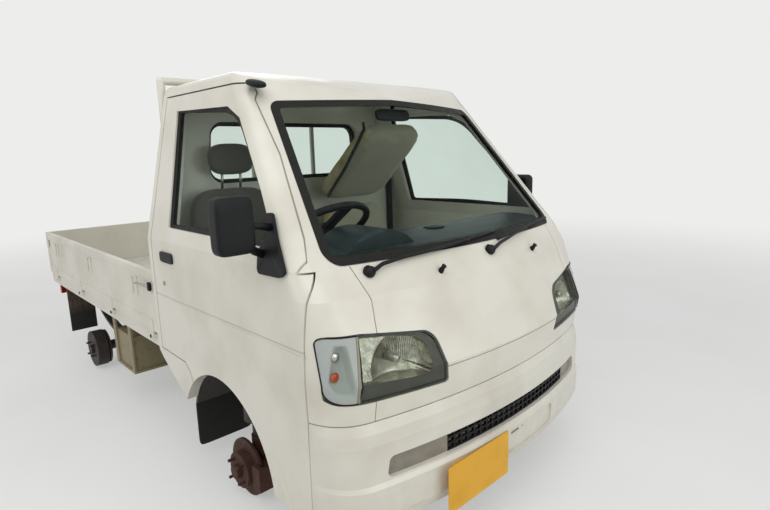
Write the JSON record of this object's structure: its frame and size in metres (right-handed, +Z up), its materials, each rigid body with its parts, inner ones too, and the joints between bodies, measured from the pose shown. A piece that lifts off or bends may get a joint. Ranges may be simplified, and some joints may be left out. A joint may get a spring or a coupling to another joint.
{
  "type": "kei truck",
  "caption": "Small cab-over pickup truck with fold-down bed gates, opening doors and steered front hubs; it stands on its bare brake discs and drums, as its road wheels are off.",
  "frame": {"origin": "middle of the bounding box at the level of the front discs' lowest points", "axes": "+Z up, +Y towards the tailgate, +X towards the truck's left side"},
  "size_m": [1.705, 3.392, 1.6725],
  "materials": {
    "ivory_paint": "gloss",
    "ivory_paint_floor": "dull",
    "ivory_paint_bumper": "gloss",
    "black_plastic": "matt",
    "lamp_chrome": "bright",
    "clear_glass": "clear",
    "tinted_glass": "clear",
    "black_rubber": "matt",
    "grey_plastic": "satin",
    "seat_cloth": "woven",
    "dirty_alloy": "dirty",
    "red_lens": "gloss",
    "yellow_plate": "satin",
    "black_steel": "dirty",
    "rusty_steel": "rusty",
    "rusty_beige_steel": "rusty",
    "rusty_iron": "rusty",
    "black_iron": "matt"
  },
  "bodies": {
    "chassis": {"cab_shell": "ivory_paint", "cab_floor": "ivory_paint_floor", "front_panel": "ivory_paint", "lower_front_panel": "ivory_paint", "front_corners": "ivory_paint", "bumper": "ivory_paint_bumper", "bumper_grille": "black_plastic", "headlamps": "lamp_chrome", "headlamp_lenses": "clear_glass", "cab_glass": "tinted_glass", "window_seals": "black_rubber", "dashboard": "grey_plastic", "wheel_housings": "ivory_paint_floor", "driver_seat": "seat_cloth", "passenger_seat": "seat_cloth", "engine": "dirty_alloy", "bed_deck": "ivory_paint", "guard_frame": "ivory_paint", "tail_lamps": "red_lens", "number_plates": "yellow_plate", "fuel_tank": "black_steel", "exhaust": "rusty_steel", "battery_box": "rusty_beige_steel", "rear_axle": "black_steel", "rear_springs": "black_steel", "front_suspension": "black_steel", "mud_flaps": "black_rubber", "wipers": "black_plastic", "frame": "black_steel"},
    "door_right_body": {"door_right": "ivory_paint", "door_glass_right": "tinted_glass", "mirror_right": "black_plastic"},
    "door_left_body": {"door_left": "ivory_paint", "door_glass_left": "tinted_glass", "mirror_left": "black_plastic"},
    "gate_right_body": {"gate_right": "ivory_paint"},
    "gate_left_body": {"gate_left": "ivory_paint"},
    "tailgate_body": {"tailgate": "ivory_paint"},
    "knuckle_right_body": {"knuckle_right": "rusty_iron"},
    "knuckle_left_body": {"knuckle_left": "rusty_iron"},
    "front_disc_right_body": {"front_disc_right": "rusty_iron"},
    "front_disc_left_body": {"front_disc_left": "rusty_iron"},
    "rear_drum_right_body": {"rear_drum_right": "black_iron"},
    "rear_drum_left_body": {"rear_drum_left": "black_iron"},
    "steering_wheel_body": {"steering_wheel": "black_plastic"}
  },
  "joints": [
    {"name": "door_right_hinge", "type": "hinge", "parent": "chassis", "child": "door_right_body", "pos_m": [-0.6595, -1.408, 0.8035], "axis": [0, 0, 1], "range_deg": [0, 65]},
    {"name": "door_left_hinge", "type": "hinge", "parent": "chassis", "child": "door_left_body", "pos_m": [0.7645, -1.408, 0.8035], "axis": [0, 0, -1], "range_deg": [0, 65]},
    {"name": "gate_right_hinge", "type": "hinge", "parent": "chassis", "child": "gate_right_body", "pos_m": [-0.6805, 0.6795, 0.5305], "axis": [0, -1, 0], "range_deg": [0, 175]},
    {"name": "gate_left_hinge", "type": "hinge", "parent": "chassis", "child": "gate_left_body", "pos_m": [0.7855, 0.6795, 0.5305], "axis": [0, 1, 0], "range_deg": [0, 175]},
    {"name": "tailgate_hinge", "type": "hinge", "parent": "chassis", "child": "tailgate_body", "pos_m": [0.0525, 1.687, 0.5305], "axis": [-1, 0, 0], "range_deg": [0, 175]},
    {"name": "steer_right", "type": "hinge", "parent": "chassis", "child": "knuckle_right_body", "pos_m": [-0.5325, -0.881, 0.1155], "axis": [0, 0, 1], "range_deg": [-33, 33]},
    {"name": "steer_left", "type": "hinge", "parent": "chassis", "child": "knuckle_left_body", "pos_m": [0.6375, -0.877, 0.1155], "axis": [0, 0, 1], "range_deg": [-33, 33]},
    {"name": "steering_wheel_turn", "type": "hinge", "parent": "chassis", "child": "steering_wheel_body", "pos_m": [-0.3325, -1.089, 1.0475], "axis": [0, 0.5736, 0.8192], "range_deg": [-560, 560]},
    {"name": "front_right_spin", "type": "hinge", "parent": "knuckle_right_body", "child": "front_disc_right_body", "pos_m": [-0.6325, -0.881, 0.1155], "axis": [1, 0, 0], "continuous": true},
    {"name": "front_left_spin", "type": "hinge", "parent": "knuckle_left_body", "child": "front_disc_left_body", "pos_m": [0.7375, -0.877, 0.1155], "axis": [1, 0, 0], "continuous": true},
    {"name": "rear_right_spin", "type": "hinge", "parent": "chassis", "child": "rear_drum_right_body", "pos_m": [-0.6325, 1.019, 0.1295], "axis": [1, 0, 0], "continuous": true},
    {"name": "rear_left_spin", "type": "hinge", "parent": "chassis", "child": "rear_drum_left_body", "pos_m": [0.7375, 1.023, 0.1295], "axis": [1, 0, 0], "continuous": true}
  ],
  "couplings": [
    {"joint": "steer_left", "follows": "steer_right", "ratio": 1},
    {"joint": "steering_wheel_turn", "follows": "steer_right", "ratio": 16}
  ]
}
